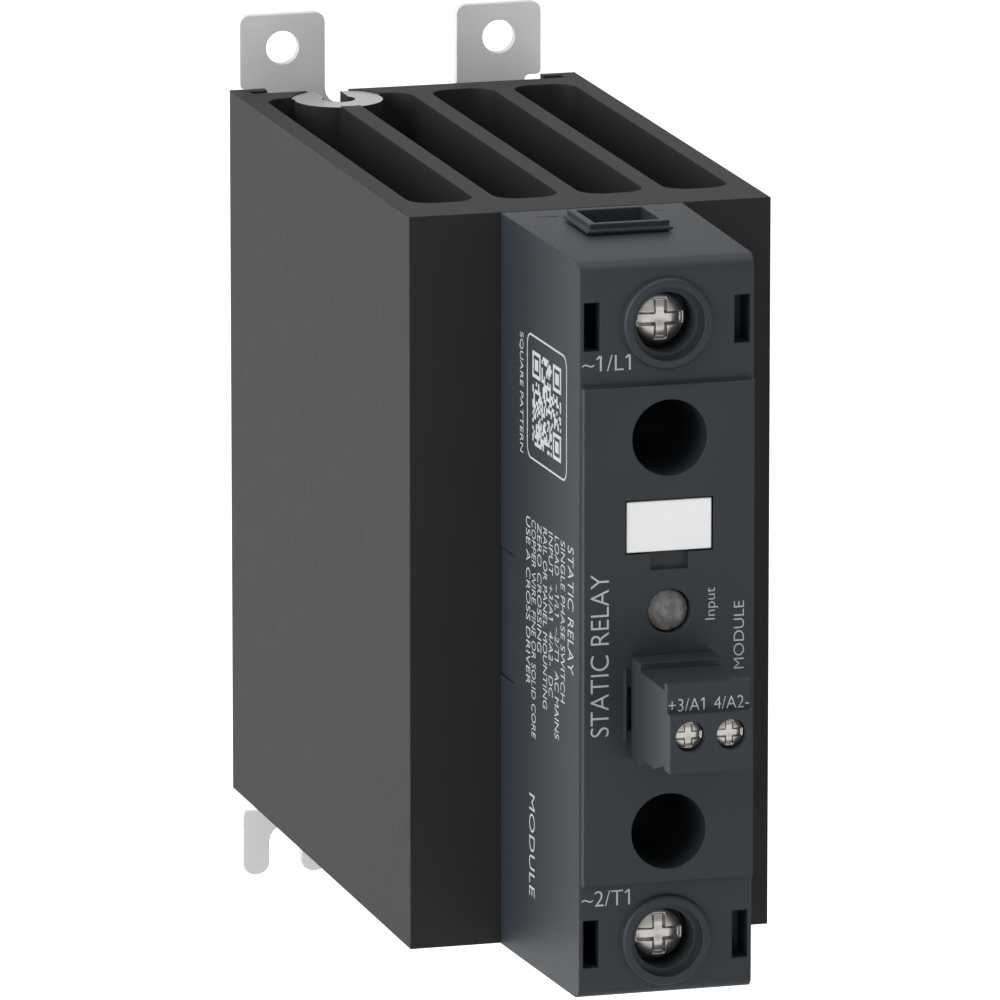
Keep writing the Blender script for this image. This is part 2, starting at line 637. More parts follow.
def mounting_bracket():
    """One folded sheet: panel tabs, forked feet, rail seat, rail hooks and latch guides."""
    corners, radii = bracket_outline()
    corners = corners + [(-x, z) for x, z in reversed(corners)]
    radii = radii + list(reversed(radii))
    hole_x = (TAB_INNER + TAB_OUTER) / 2
    holes = [circle(side * hole_x, TAB_HOLE_HEIGHT, TAB_HOLE_RADIUS, SMALL_ROUND) for side in (-1, 1)]
    plate = sheet("bracket", [rounded(corners, radii)] + holes, SHEET,
                  facing_back(PANEL - SHEET / 2))
    seat_edge = RAIL_HALF_HEIGHT + RAIL_SHOULDER
    wide = PLATE_HALF_WIDTH
    beyond = PANEL + OVERSHOOT
    cut(plate, box("rail_window", (-wide - OVERSHOOT, SHEET_FRONT - OVERSHOOT, -seat_edge),
                   (wide + OVERSHOOT, beyond, seat_edge)))
    add(plate, box("rail_seat", (-wide, -SHEET, -seat_edge - SHEET), (wide, 0, seat_edge + SHEET)))
    foot_rear = SINK_BACK - LIP_THICK - GAP
    foot_front = foot_rear - TURNED_LIP
    for side in (-1, 1):
        # step between the seat and the panel plane, above and below the rail
        edge = side * seat_edge
        add(plate, box("seat_step", (-wide, -SHEET, min(edge, edge + side * SHEET)),
                       (wide, PANEL, max(edge, edge + side * SHEET))))
        # flange that runs forward between the heat sink's lips
        outer = side * wide
        inner = side * (wide - SHEET)
        flange = box("flange", (min(outer, inner), foot_front, -FLANGE_HALF_HEIGHT),
                     (max(outer, inner), PANEL, FLANGE_HALF_HEIGHT))
        reach = side * (wide + TURNED_REACH)
        turned = box("turned_lip", (min(inner, reach), foot_front, -FLANGE_HALF_HEIGHT),
                     (max(inner, reach), foot_rear, FLANGE_HALF_HEIGHT))
        add(plate, flange, turned)
        near = min(side * HOOK_INNER, side * HOOK_OUTER)
        far = max(side * HOOK_INNER, side * HOOK_OUTER)
        hook_edge = RAIL_HALF_HEIGHT - HOOK_OVERLAP
        # the hook is pressed out of the seat, so a window stays behind it
        cut(plate, box("hook_window", (near - GAP, -SHEET - OVERSHOOT, hook_edge - GAP),
                       (far + GAP, OVERSHOOT, seat_edge)))
        add(plate, box("rail_hook", (near, SHEET_FRONT, hook_edge),
                       (far, PANEL, seat_edge + SHEET)))
    clear_x = LATCH_HALF_WIDTH + 2 * GAP
    cut(plate,
        # the rail itself passes between the flanges
        box("rail_path", (-wide - OVERSHOOT, 0, -seat_edge),
            (-HOOK_OUTER - GAP, beyond, seat_edge)),
        box("rail_path", (HOOK_OUTER + GAP, 0, -seat_edge),
            (wide + OVERSHOOT, beyond, seat_edge)),
        # room for the latch's hook and its step
        box("latch_window", (-clear_x, SHEET_FRONT - 2 * GAP,
                             -LATCH_SHELF - LATCH_TRAVEL - 2 * GAP),
            (clear_x, beyond, -seat_edge + OVERSHOOT)),
        box("latch_step_window", (-clear_x, LATCH_FRONT - 2 * GAP,
                                  -LATCH_SHELF - LATCH_TRAVEL - 2 * GAP),
            (clear_x, beyond, -seat_edge - SHEET - GAP)))
    lip_rear = LATCH_FRONT - GAP
    lip_front = lip_rear - SHEET
    for side in (-1, 1):
        near = side * (LATCH_HALF_WIDTH + GAP)
        far = near + side * SHEET
        over = side * (LATCH_HALF_WIDTH - GUIDE_OVERLAP)
        post = box("guide_post", (min(near, far), lip_front, -GUIDE_TOP - GUIDE_HEIGHT),
                   (max(near, far), PANEL - SHEET / 2, -GUIDE_TOP))
        lip = box("guide_lip", (min(over, far), lip_front, -GUIDE_TOP - GUIDE_HEIGHT),
                  (max(over, far), lip_rear, -GUIDE_TOP))
        add(plate, post, lip)
    lug_top = -SPRING_WINDOW_TOP - SPRING_LENGTH - 2 * GAP
    add(plate, box("spring_lug", (-LUG_HALF_WIDTH, lip_front, lug_top - SHEET),
                   (LUG_HALF_WIDTH, PANEL - SHEET / 2, lug_top)))
    finish(plate, "mounting_bracket", ZINC, 0.38, 0.9)


def rail_latch():
    """The sprung slider that hooks behind the rail's lower edge."""
    hook_top = -(RAIL_HALF_HEIGHT - HOOK_OVERLAP)
    width = LATCH_HALF_WIDTH
    window_bottom = -SPRING_WINDOW_TOP - SPRING_LENGTH - 2 * GAP - SHEET - GAP
    outline = [(-width, -LATCH_SHELF + LATCH_SHEET), (-width, -LATCH_TAIL_TOP + LATCH_TAPER),
               (-LATCH_TAIL_HALF_WIDTH, -LATCH_TAIL_TOP), (-LATCH_TAIL_HALF_WIDTH, -LATCH_TAIL_BOTTOM)]
    outline = outline + [(-x, z) for x, z in reversed(outline)]
    radii = [0, TAB_CORNER, TAB_CORNER, TAB_CORNER, TAB_CORNER, TAB_CORNER, TAB_CORNER, 0]
    half = SPRING_WINDOW_HALF_WIDTH
    window = [(-half, window_bottom), (half, window_bottom),
              (half, -SPRING_WINDOW_TOP), (-half, -SPRING_WINDOW_TOP)]
    slot_low = -DRIVER_SLOT_TOP - DRIVER_SLOT_HEIGHT
    slot = [(-DRIVER_SLOT_HALF_WIDTH, slot_low), (DRIVER_SLOT_HALF_WIDTH, slot_low),
            (DRIVER_SLOT_HALF_WIDTH, -DRIVER_SLOT_TOP), (-DRIVER_SLOT_HALF_WIDTH, -DRIVER_SLOT_TOP)]
    latch = sheet("latch", [rounded(outline, radii), window, slot], LATCH_SHEET,
                  facing_back((LATCH_REAR + LATCH_FRONT) / 2))
    add(latch,
        box("latch_step", (-width, LATCH_FRONT, -LATCH_SHELF),
            (width, PANEL, -LATCH_SHELF + LATCH_SHEET)),
        box("latch_hook", (-width, SHEET_FRONT, -LATCH_SHELF), (width, PANEL, hook_top)))
    finish(latch, "rail_latch", ZINC, 0.36, 0.9)


def latch_spring():
    """The compression spring in the latch's window, closed at both ends."""
    top = -SPRING_WINDOW_TOP - GAP - SPRING_WIRE
    bottom = top - SPRING_LENGTH + 2 * SPRING_WIRE
    centre_y = (LATCH_REAR + LATCH_FRONT) / 2
    count = (SPRING_TURNS + 2) * SPRING_POINTS
    curve = bpy.data.curves.new("spring", "CURVE")
    curve.dimensions = "3D"
    curve.bevel_depth = SPRING_WIRE
    curve.bevel_resolution = 2
    curve.use_fill_caps = True
    spline = curve.splines.new("POLY")
    spline.points.add(count)
    closed_rise = SPRING_CLOSED_RISE
    for index, point in enumerate(spline.points):
        turn = index / SPRING_POINTS
        # the first and last turns are closed: they rise by little more than the wire
        if turn < 1:
            rise = turn * closed_rise
        elif turn > SPRING_TURNS + 1:
            rise = (top - bottom) - (SPRING_TURNS + 2 - turn) * closed_rise
        else:
            rise = closed_rise + (turn - 1) / SPRING_TURNS * (top - bottom - 2 * closed_rise)
        angle = 2 * math.pi * turn
        point.co = (SPRING_RADIUS * math.cos(angle), SPRING_RADIUS * math.sin(angle), rise, 1.0)
    spring = solid_of_curve(curve, "spring", Matrix.Translation((0, centre_y, bottom)))
    finish(spring, "latch_spring", SPRING_STEEL, 0.3, 1.0, smooth=WIRE_EDGE)


def body_half_width(depth):
    """Half of the relay body's width at a depth, with its side draft."""
    return BODY_WIDTH / 2 - SIDE_DRAFT * depth / BODY_DEPTH


def drafted_block(name, rear, front, top, bottom, top_draft, bottom_draft, inset=0.0, edge=None):
    """A block that narrows towards the front by the body's drafts.

    The four edges that run front to back and the front's own edges are rounded
    when edge gives their radii as (side, end).
    """
    shape = bmesh.new()
    bmesh.ops.create_cube(shape, size=2.0)
    for vertex in shape.verts:
        depth = front if vertex.co.y < 0 else rear
        share = depth / BODY_DEPTH
        height = top - top_draft * share if vertex.co.z > 0 else bottom + bottom_draft * share
        side = 1 if vertex.co.x > 0 else -1
        vertex.co = (side * (body_half_width(depth) - inset), ahead(depth), height)
    if edge:
        for radius, way in ((edge[1], 0), (edge[0], 2)):
            front_y = ahead(front)
            chosen = [item for item in shape.edges
                      if all(abs(vertex.co.y - front_y) < GAP for vertex in item.verts)
                      and abs((item.verts[0].co - item.verts[1].co)[way]) > 3 * radius
                      and abs((item.verts[0].co - item.verts[1].co)[2 - way]) < radius]
            bmesh.ops.bevel(shape, geom=chosen, offset=radius, offset_type="OFFSET",
                            segments=ARC_STEPS, profile=0.5, affect="EDGES")
    mesh = bpy.data.meshes.new(name)
    shape.to_mesh(mesh)
    shape.free()
    return place(mesh, name, (0.0, 0.0, 0.0))


def relay_housing():
    """The moulded cover: open at the back, with screw tunnels and terminal wells."""
    half_height = BODY_HEIGHT / 2
    housing = drafted_block("housing", GAP, BODY_DEPTH, half_height, -half_height, TOP_DRAFT,
                            BOTTOM_DRAFT, edge=(SIDE_EDGE, END_EDGE))
    middle = drafted_block("housing_middle", BODY_DEPTH / 2, MID_DEPTH, MID_HALF_HEIGHT,
                           -MID_HALF_HEIGHT, 0, 0, inset=MID_INSET, edge=(SIDE_EDGE, GAP))
    inner_height = half_height - BODY_WALL
    hollow = drafted_block("housing_hollow", -OVERSHOOT, BODY_DEPTH - BODY_WALL, inner_height,
                           -inner_height, TOP_DRAFT, BOTTOM_DRAFT, inset=BODY_WALL)
    mid_inner = MID_HALF_HEIGHT - BODY_WALL
    mid_hollow = drafted_block("housing_mid_hollow", BODY_DEPTH / 2, MID_DEPTH - BODY_WALL,
                               mid_inner, -mid_inner, 0, 0, inset=BODY_WALL + MID_INSET)
    add(housing, middle)
    cut(housing, hollow, mid_hollow)
    tunnel_rear = BASE_FRONT + GAP
    well_bottom = WELL_FLOOR - WELL_FLOOR_THICK
    well_outer = WELL_RADIUS + WELL_WALL
    ring_front = BODY_DEPTH + RING_RISE
    for side in (-1, 1):
        z = side * MODULE_SCREW_Z
        add(housing, rod("tunnel", TUNNEL_RADIUS, (0, ahead(tunnel_rear), z),
                         (0, ahead(MID_DEPTH - GAP), z), HEAD_ROUND))
        z = side * TERMINAL_HEIGHT
        add(housing,
            rod("well", well_outer, (0, ahead(well_bottom), z),
                (0, ahead(BODY_DEPTH - GAP), z), HEAD_ROUND),
            rod("ring", RING_RADIUS, (0, ahead(BODY_DEPTH - GAP), z), (0, ahead(ring_front), z),
                ROUND, rounding=RING_EDGE))
    for side in (-1, 1):
        z = side * MODULE_SCREW_Z
        cut(housing, rod("access", ACCESS_RADIUS, (0, ahead(tunnel_rear - OVERSHOOT), z),
                         (0, ahead(MID_DEPTH + OVERSHOOT), z), ROUND))
        z = side * TERMINAL_HEIGHT
        beyond = ring_front + OVERSHOOT
        cut(housing,
            rod("well_mouth", WELL_MOUTH_RADIUS, (0, ahead(ring_front - WELL_MOUTH_DEPTH), z),
                (0, ahead(beyond), z), ROUND),
            rod("well_bore", WELL_RADIUS, (0, ahead(WELL_FLOOR), z), (0, ahead(beyond), z), ROUND),
            rod("shank_hole", LOAD_SHANK_HOLE, (0, ahead(well_bottom - OVERSHOOT), z),
                (0, ahead(beyond), z)))
        for edge in (-1, 1):
            x = edge * SIDE_SLOT_X
            cut(housing, box("side_slot",
                             (x - SIDE_SLOT_WIDTH / 2, ahead(BODY_DEPTH + OVERSHOOT),
                              z - SIDE_SLOT_HEIGHT / 2),
                             (x + SIDE_SLOT_WIDTH / 2, ahead(BODY_DEPTH - SIDE_SLOT_DEPTH),
                              z + SIDE_SLOT_HEIGHT / 2)))
        # wire entry through the end wall
        entry_x = COLLAR_HALF_WIDTH - COLLAR_NECK_STEP + GAP
        near = side * (inner_height - OVERSHOOT - BOTTOM_DRAFT)
        far = side * (half_height + OVERSHOOT)
        cut(housing, box("wire_entry",
                         (-entry_x, ahead(COLLAR_FRONT - COLLAR_NECK_STEP + GAP), min(near, far)),
                         (entry_x, ahead(COLLAR_REAR + COLLAR_NECK_STEP - GAP), max(near, far))))
        # window for the base frame's snap
        cut(housing, box("snap_window",
                         (min(side * (FRAME_OUTER - OVERSHOOT), side * BODY_WIDTH),
                          ahead(SNAP_DEPTH), SNAP_LOW),
                         (max(side * (FRAME_OUTER - OVERSHOOT), side * BODY_WIDTH),
                          ahead(-OVERSHOOT), SNAP_HIGH)))
        # short open seams beside each wire entry
        for edge in (-1, 1):
            start = edge * (COLLAR_HALF_WIDTH + COLLAR_FLANGE)
            seam = [(start, ahead(SEAM_DEPTH)), (start, ahead(SEAM_DEPTH + SEAM_WIDTH)),
                    (start + edge * SEAM_LENGTH, ahead(SEAM_DEPTH))]
            level = side * (half_height + (OVERSHOOT - SEAM_CUT) / 2)
            cut(housing, sheet("seam", [seam], OVERSHOOT + SEAM_CUT,
                               Matrix.Translation((0.0, 0.0, level))))
    cut_front_details(housing)
    finish(housing, "relay_housing", DARK_PLASTIC, 0.45, smooth=ROUND_EDGE)


def cut_front_details(housing):
    """Tag pocket, pry notch, lamp hole, header opening, clip slot and rib."""
    beyond = ahead(MID_DEPTH + OVERSHOOT)
    pocket = ahead(MID_DEPTH - TAG_POCKET_DEPTH)
    pocket_high = TAG_POCKET_LOW + TAG_POCKET_HEIGHT
    cut(housing,
        box("tag_pocket", (-TAG_POCKET_HALF_WIDTH, beyond, TAG_POCKET_LOW),
            (TAG_POCKET_HALF_WIDTH, pocket, pocket_high)),
        box("pry_notch", (-PRY_HALF_WIDTH, beyond, TAG_POCKET_LOW - PRY_HEIGHT),
            (PRY_HALF_WIDTH, ahead(MID_DEPTH - PRY_DEPTH), TAG_POCKET_LOW + GAP)),
        rod("lamp_hole", LENS_RADIUS + GAP, (0, beyond, LAMP_Z),
            (0, ahead(MID_DEPTH - BODY_WALL - OVERSHOOT), LAMP_Z), HEAD_ROUND))
    leg_z = TAG_POCKET_LOW + TAG_POCKET_HEIGHT / 2
    for side in (-1, 1):
        x = side * TAG_LEG_X
        half_w = TAG_LEG_WIDTH / 2 + SLIM_GAP
        half_h = TAG_LEG_HEIGHT / 2 + SLIM_GAP
        cut(housing, box("tag_leg_hole", (x - half_w, beyond, leg_z - half_h),
                         (x + half_w, ahead(MID_DEPTH - BODY_WALL - OVERSHOOT), leg_z + half_h)))
    opening = NOSE_HALF_WIDTH + GAP
    behind = ahead(MID_DEPTH - BODY_WALL - OVERSHOOT)
    rib_x = PLUG_X - PLUG_WIDTH / 2 - RIB_INSET
    add(housing, box("socket_rib", (rib_x - RIB_WIDTH, ahead(MID_DEPTH + RIB_RISE), RIB_LOW),
                     (rib_x, ahead(MID_DEPTH - GAP), RIB_HIGH)))
    cut(housing,
        box("header_opening", (PLUG_X - opening, beyond, NOSE_BOTTOM - GAP),
            (PLUG_X + opening, behind, NOSE_TOP + GAP)),
        box("clip_slot", (PLUG_X - opening - CLIP_SLOT_WIDTH, beyond, CLIP_SLOT_LOW),
            (PLUG_X, behind, CLIP_SLOT_HIGH)))


def base_frame():
    """The inner frame round the metal base, with a snap on each side and four board posts."""
    height = BODY_HEIGHT / 2 - BODY_WALL - GAP - BOTTOM_DRAFT * FRAME_DEPTH / BODY_DEPTH
    width = FRAME_OUTER - SIDE_DRAFT * FRAME_DEPTH / BODY_DEPTH
    outer = [(-width, -height), (width, -height), (width, height), (-width, height)]
    inner_x = width - FRAME_WALL
    inner_z = height - FRAME_WALL
    inner = [(-inner_x, -inner_z), (inner_x, -inner_z), (inner_x, inner_z), (-inner_x, inner_z)]
    frame = sheet("frame", [outer, inner], FRAME_DEPTH - GAP,
                  facing_back(ahead((FRAME_DEPTH + GAP) / 2)))
    for side in (-1, 1):
        near = side * (width - FRAME_WALL / 2)
        far = side * (body_half_width(SNAP_DEPTH) - SNAP_FLUSH)
        add(frame, box("snap", (min(near, far), ahead(SNAP_DEPTH - SLIM_GAP), SNAP_LOW + SLIM_GAP),
                       (max(near, far), ahead(GAP), SNAP_HIGH - SLIM_GAP)))
        for end in (-1, 1):
            low_x = side * (width - POST_THICK)
            high_x = side * width
            low_z = end * POST_CENTRE - POST_HEIGHT / 2
            post_high = BOARD_REAR - GAP
            narrow = side * SIDE_DRAFT
            add(frame, box("board_post",
                           (min(low_x - narrow, high_x - narrow), ahead(post_high), low_z),
                           (max(low_x - narrow, high_x - narrow), ahead(FRAME_DEPTH - POST_THICK),
                            low_z + POST_HEIGHT)))
    finish(frame, "base_frame", DARK_PLASTIC, 0.5)


def power_stage():
    """Thermal pad, metal base, ceramic, two chips, and the busbars to the load terminals."""
    width = BASE_HALF_WIDTH
    height = BASE_HALF_HEIGHT
    pad = box("pad", (-width, ahead(GAP + PAD_THICK), -height), (width, ahead(GAP), height))
    base = box("base", (-width, ahead(BASE_FRONT), -height), (width, ahead(BASE_REAR), height))
    for side in (-1, 1):
        z = side * MODULE_SCREW_Z
        hole = MODULE_SHANK_RADIUS + GAP
        cut(pad, rod("pad_hole", hole, (0, ahead(BASE_FRONT), z), (0, ahead(-OVERSHOOT), z)))
        cut(base, rod("base_hole", hole, (0, ahead(BASE_FRONT + OVERSHOOT), z),
                      (0, ahead(0), z)))
    finish(pad, "thermal_pad", PAD_GREY, 0.8)
    finish(base, "base_plate", ALUMINIUM, 0.35, 1.0)
    ceramic = box("ceramic", (-CERAMIC_HALF_WIDTH, ahead(CERAMIC_FRONT), -CERAMIC_HALF_HEIGHT),
                  (CERAMIC_HALF_WIDTH, ahead(BASE_FRONT + GAP), CERAMIC_HALF_HEIGHT))
    finish(ceramic, "ceramic_substrate", CERAMIC, 0.5)
    half = CHIP_SIDE / 2
    for name, side in (("thyristor_chip_upper", 1), ("thyristor_chip_lower", -1)):
        z = side * CHIP_HEIGHT
        chip = box("chip", (-half, ahead(POWER_LEVEL + CHIP_THICK), z - half),
                   (half, ahead(POWER_LEVEL), z + half))
        finish(chip, name, SILICON, 0.2, 0.5)
    for name, side in (("load_busbar_upper", 1), ("load_busbar_lower", -1)):
        busbar(name, side)


def busbar(name, side):
    """A folded copper strip: foot on the ceramic, strip past the tunnel, terminal tongue."""
    def span(label, low, high):
        # the lower busbar is the upper one turned half a turn about Y
        first = (side * low[0], ahead(low[1]), side * low[2])
        second = (side * high[0], ahead(high[1]), side * high[2])
        return box(label, [min(a, b) for a, b in zip(first, second)],
                   [max(a, b) for a, b in zip(first, second)])
    strip_x = BUSBAR_X - BUSBAR_SHEET
    tongue_front = TONGUE_REAR + TONGUE_THICK
    bridge_top = TONGUE_LOW + TONGUE_BRIDGE
    bar = span("busbar", (strip_x, BUSBAR_STRIP_REAR, BUSBAR_FOOT_LOW),
               (BUSBAR_X, tongue_front, bridge_top))
    add(bar,
        span("busbar_riser", (strip_x, POWER_LEVEL, BUSBAR_FOOT_LOW),
             (BUSBAR_X, tongue_front, BUSBAR_FOOT_HIGH)),
        span("busbar_foot", (-strip_x / 2, POWER_LEVEL, BUSBAR_FOOT_LOW),
             (BUSBAR_X, POWER_LEVEL + BUSBAR_SHEET, BUSBAR_FOOT_HIGH)),
        span("busbar_bridge", (-TONGUE_HALF_WIDTH, TONGUE_REAR, TONGUE_LOW),
             (BUSBAR_X, tongue_front, bridge_top)),
        span("busbar_tongue", (-TONGUE_HALF_WIDTH, TONGUE_REAR, TONGUE_LOW),
             (TONGUE_HALF_WIDTH, tongue_front, TONGUE_HIGH)))
    finish(bar, name, TINNED_COPPER, 0.3, 1.0)


def cross_recess(name, radius, width, depth, front, x, z):
    """Two crossed bars that cut a driver recess into a screw head facing -Y."""
    bars = []
    for across, up in ((radius, width / 2), (width / 2, radius)):
        bars.append(box(name, (x - across, front - OVERSHOOT, z - up),
                        (x + across, front + depth, z + up)))
    return bars


def screw(name, x, z, front, head, radius, shank, tip, colour, dome, recess):
    """A screw facing -Y, turned on its own axis: domed head, plain shank, cross recess."""
    length = tip - front
    arc = [(radius * math.sin(turn), -dome * (1 - math.cos(turn)))
           for turn in (math.radians(90) * step / ARC_STEPS for step in range(ARC_STEPS + 1))]
    chamfer = shank * POINT_CHAMFER
    profile = arc + [(radius, -head), (shank, -head), (shank, -length + chamfer),
                     (shank - chamfer, -length), (0.0, -length)]
    item = turned("screw", profile, HEAD_ROUND, facing_front(front, z, x))
    width, depth, reach = recess
    cut(item, *cross_recess("screw_recess", radius * reach, width, depth, front, x, z))
    return finish(item, name, colour, 0.3, 1.0, smooth=ROUND_EDGE)


def load_terminals():
    """A screw and a cage for each load wire, and the collar that the wire goes in by."""
    head_rear = WELL_FLOOR + GAP
    head_front = head_rear + LOAD_HEAD_HEIGHT
    for word, side in (("upper", 1), ("lower", -1)):
        z = side * TERMINAL_HEIGHT
        screw("load_screw_" + word, 0, z, ahead(head_front), LOAD_HEAD_HEIGHT, LOAD_HEAD_RADIUS,
              LOAD_SHANK_RADIUS, ahead(TONGUE_REAR + TONGUE_THICK + GAP), NICKEL, LOAD_HEAD_DOME,
              LOAD_RECESS)
        low = side * CAGE_LOW
        high = side * CAGE_HIGH
        rear = CAGE_REAR_INSIDE - CAGE_WALL
        front = CAGE_FRONT_INSIDE + CAGE_NUT
        cage = box("cage", (-CAGE_HALF_WIDTH, ahead(front), min(low, high)),
                   (CAGE_HALF_WIDTH, ahead(rear), max(low, high)))
        inner = CAGE_HALF_WIDTH - CAGE_WALL
        cut(cage,
            box("cage_window", (-inner, ahead(CAGE_FRONT_INSIDE), min(low, high) - OVERSHOOT),
                (inner, ahead(CAGE_REAR_INSIDE), max(low, high) + OVERSHOOT)),
            rod("cage_thread", LOAD_SHANK_RADIUS + GAP, (0, ahead(CAGE_FRONT_INSIDE - OVERSHOOT), z),
                (0, ahead(front + OVERSHOOT), z)))
        finish(cage, "load_cage_" + word, ZINC, 0.35, 1.0)
        collar(word, side)


def collar(word, side):
    """A rectangular wire guide with a thin flange on the end wall."""
    half = BODY_HEIGHT / 2
    flange_low = half + SLIM_GAP
    flange_high = flange_low + COLLAR_FLANGE_THICK
    rim = half + COLLAR_RISE
    neck_low = CAGE_HIGH + GAP
    wide = COLLAR_HALF_WIDTH
    neck_x = wide - COLLAR_NECK_STEP

    def ring_box(label, x, rear, front, low, high):
        first = side * low
        second = side * high
        return box(label, (-x, ahead(front), min(first, second)),
                   (x, ahead(rear), max(first, second)))

    guide = ring_box("collar", wide, COLLAR_REAR, COLLAR_FRONT, flange_low, rim)
    add(guide,
        ring_box("collar_flange", wide + COLLAR_FLANGE, COLLAR_REAR - COLLAR_FLANGE,
                 COLLAR_FRONT + COLLAR_FLANGE, flange_low, flange_high),
        ring_box("collar_neck", neck_x, COLLAR_REAR + COLLAR_NECK_STEP,
                 COLLAR_FRONT - COLLAR_NECK_STEP, neck_low, flange_high))
    cut(guide, ring_box("collar_mouth", wide - COLLAR_WALL, COLLAR_REAR + COLLAR_WALL,
                        COLLAR_FRONT - COLLAR_WALL, neck_low - OVERSHOOT, rim + OVERSHOOT))
    finish(guide, "wire_collar_" + word, DARK_PLASTIC, 0.45)


def module_screws():
    """The two screws and washers that clamp the relay to the heat sink."""
    washer_rear = BASE_FRONT + GAP
    washer_front = washer_rear + WASHER_THICK
    head_rear = washer_front + GAP
    for word, side in (("upper", 1), ("lower", -1)):
        z = side * MODULE_SCREW_Z
        washer = rod("washer", WASHER_RADIUS, (0, ahead(washer_front), z),
                     (0, ahead(washer_rear), z), HEAD_ROUND)
        cut(washer, rod("washer_hole", MODULE_SHANK_RADIUS + GAP,
                        (0, ahead(washer_front + OVERSHOOT), z),
                        (0, ahead(washer_rear - OVERSHOOT), z)))
        finish(washer, "module_washer_" + word, ZINC, 0.35, 1.0)
        screw("module_screw_" + word, 0, z, ahead(head_rear + MODULE_HEAD_HEIGHT),
              MODULE_HEAD_HEIGHT, MODULE_HEAD_RADIUS, MODULE_SHANK_RADIUS,
              SINK_FRONT + MODULE_SHANK_REACH, ZINC, MODULE_HEAD_HEIGHT * SHALLOW_DOME,
              MODULE_RECESS)


def control_electronics():
    """The board, its parts, the gate leads, the lamp and its lens."""
    board = box("board", (-BOARD_HALF_WIDTH, ahead(BOARD_FRONT), -BOARD_HALF_HEIGHT),
                (BOARD_HALF_WIDTH, ahead(BOARD_REAR), BOARD_HALF_HEIGHT))
    finish(board, "control_board", BOARD_GREEN, 0.4)
    surface = BOARD_REAR - GAP
    wide, thick, tall = COUPLER_SIZE
    x, z = COUPLER_PLACE
    coupler = box("coupler", (x - wide / 2, ahead(surface), z - tall / 2),
                  (x + wide / 2, ahead(surface - thick), z + tall / 2))
    finish(coupler, "optocoupler", BLACK_PLASTIC, 0.5)
    for index, side in enumerate((-1, 1)):
        x = side * RESISTOR_X
        y = ahead(surface - RESISTOR_RADIUS)
        low = RESISTOR_Z - RESISTOR_LENGTH / 2
        high = RESISTOR_Z + RESISTOR_LENGTH / 2
        item = rod("resistor", RESISTOR_RADIUS, (x, y, low), (x, y, high))
        add(item, rod("resistor_wire", RESISTOR_NECK_RADIUS, (x, y, low - RESISTOR_NECK),
                      (x, y, high + RESISTOR_NECK), WIRE_SIDES))
        finish(item, "resistor_%d" % (index + 1), RESISTOR_BLUE, 0.4, smooth=ROUND_EDGE)
    x, z = CAPACITOR_PLACE
    capacitor = rod("capacitor", CAPACITOR_RADIUS, (x, ahead(surface), z),
                    (x, ahead(surface - CAPACITOR_LENGTH), z))
    finish(capacitor, "capacitor", BLACK_PLASTIC, 0.35, smooth=ROUND_EDGE)
    centre = surface - VARISTOR_LEG - VARISTOR_RADIUS + GAP
    half = VARISTOR_THICK / 2
    varistor = rod("varistor", VARISTOR_RADIUS, (-half, ahead(centre), VARISTOR_Z),
                   (half, ahead(centre), VARISTOR_Z), HEAD_ROUND)
    for side in (-1, 1):
        leg_z = VARISTOR_Z + side * VARISTOR_LEG_SPREAD
        add(varistor, rod("varistor_leg", VARISTOR_LEG_RADIUS, (0, ahead(centre), leg_z),
                          (0, ahead(surface), leg_z), WIRE_SIDES))
    finish(varistor, "varistor", VARISTOR_BLUE, 0.4, smooth=ROUND_EDGE)
    for word, side in (("upper", 1), ("lower", -1)):
        x = -side * GATE_LEAD_X
        z = side * GATE_LEAD_Z
        lead = rod("gate_lead", GATE_LEAD_RADIUS, (x, ahead(POWER_LEVEL), z),
                   (x, ahead(surface), z), WIRE_SIDES)
        finish(lead, "gate_lead_" + word, TINNED_COPPER, 0.3, 1.0, smooth=ROUND_EDGE)
    led_rear = BOARD_FRONT + GAP
    led_front = led_rear + LED_THICK
    led = box("led", (-LED_WIDTH / 2, ahead(led_front), LAMP_Z - LED_HEIGHT / 2),
              (LED_WIDTH / 2, ahead(led_rear), LAMP_Z + LED_HEIGHT / 2))
    finish(led, "indicator_led", LED_CLEAR, 0.3)
    lens_front = MID_DEPTH - LENS_RECESS
    lens = rod("lens", LENS_RADIUS, (0, ahead(lens_front), LAMP_Z),
               (0, ahead(lens_front - LENS_HEAD), LAMP_Z), HEAD_ROUND)
    add(lens, rod("lens_stem", LENS_STEM_RADIUS, (0, ahead(lens_front - LENS_HEAD + GAP), LAMP_Z),
                  (0, ahead(led_front + GAP), LAMP_Z)))
    finish(lens, "lamp_lens", LENS_GREY, 0.35, smooth=ROUND_EDGE)


def marker_tag():
    """The white tag with two legs, clipped into its pocket."""
    half = TAG_POCKET_HALF_WIDTH - SLIM_GAP
    low = TAG_POCKET_LOW + SLIM_GAP
    high = TAG_POCKET_LOW + TAG_POCKET_HEIGHT - SLIM_GAP
    front = MID_DEPTH - TAG_RECESS
    rear = MID_DEPTH - TAG_POCKET_DEPTH + SLIM_GAP
    tag = box("tag", (-half, ahead(front), low), (half, ahead(rear), high))
    middle = (low + high) / 2
    for side in (-1, 1):
        x = side * TAG_LEG_X
        add(tag, box("tag_leg", (x - TAG_LEG_WIDTH / 2, ahead(rear + GAP), middle - TAG_LEG_HEIGHT / 2),
                     (x + TAG_LEG_WIDTH / 2, ahead(rear - TAG_LEG_LENGTH),
                      middle + TAG_LEG_HEIGHT / 2)))
    finish(tag, "marker_tag", TAG_WHITE, 0.55)


